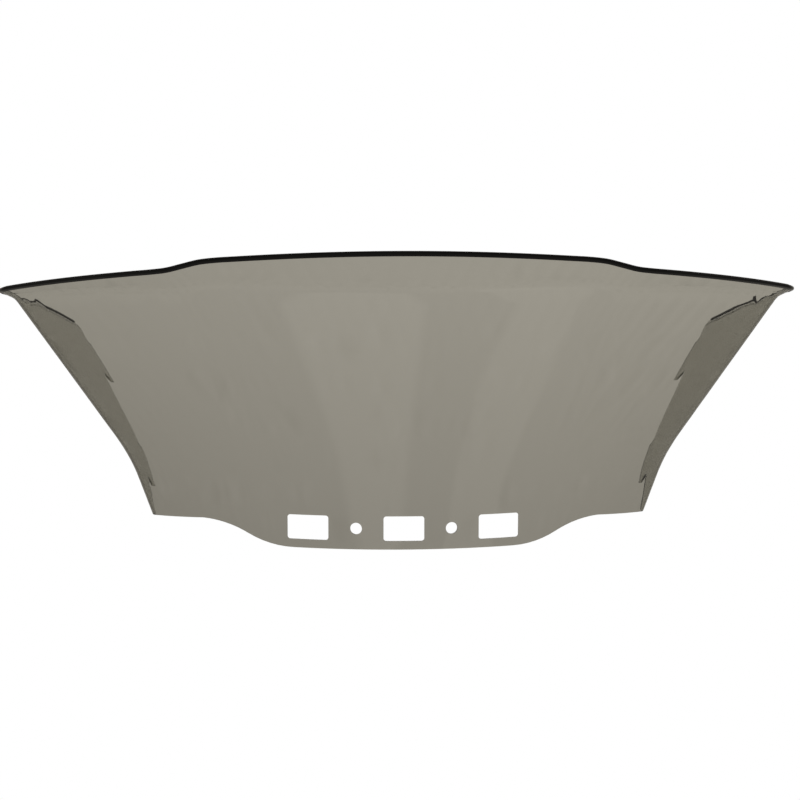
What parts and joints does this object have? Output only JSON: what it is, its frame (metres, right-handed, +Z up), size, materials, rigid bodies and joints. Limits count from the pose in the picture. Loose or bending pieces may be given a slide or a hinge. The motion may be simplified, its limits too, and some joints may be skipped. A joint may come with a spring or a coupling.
{
  "type": "windshield screen",
  "caption": "Low wrap-around windshield screen in smoke tinted sheet with a flared top lip, folded side wings with hooked edges and a glossy black edge trim.",
  "frame": {"origin": "on the surface it stands on, under the middle of its box", "axes": "+X to the screen's own right as seen from the front, front faces -Y, +Z up; it stands leaned back on the lower strip and the rear lower corners"},
  "size_m": [0.8396, 0.2792, 0.3049],
  "materials": {
    "smoke_sheet": "clear smoke tint, glossy",
    "black_trim": "glossy black vinyl"
  },
  "bodies": {
    "root": {"windshield_screen": "smoke_sheet", "edge_trim": "black_trim"}
  },
  "joints": []
}
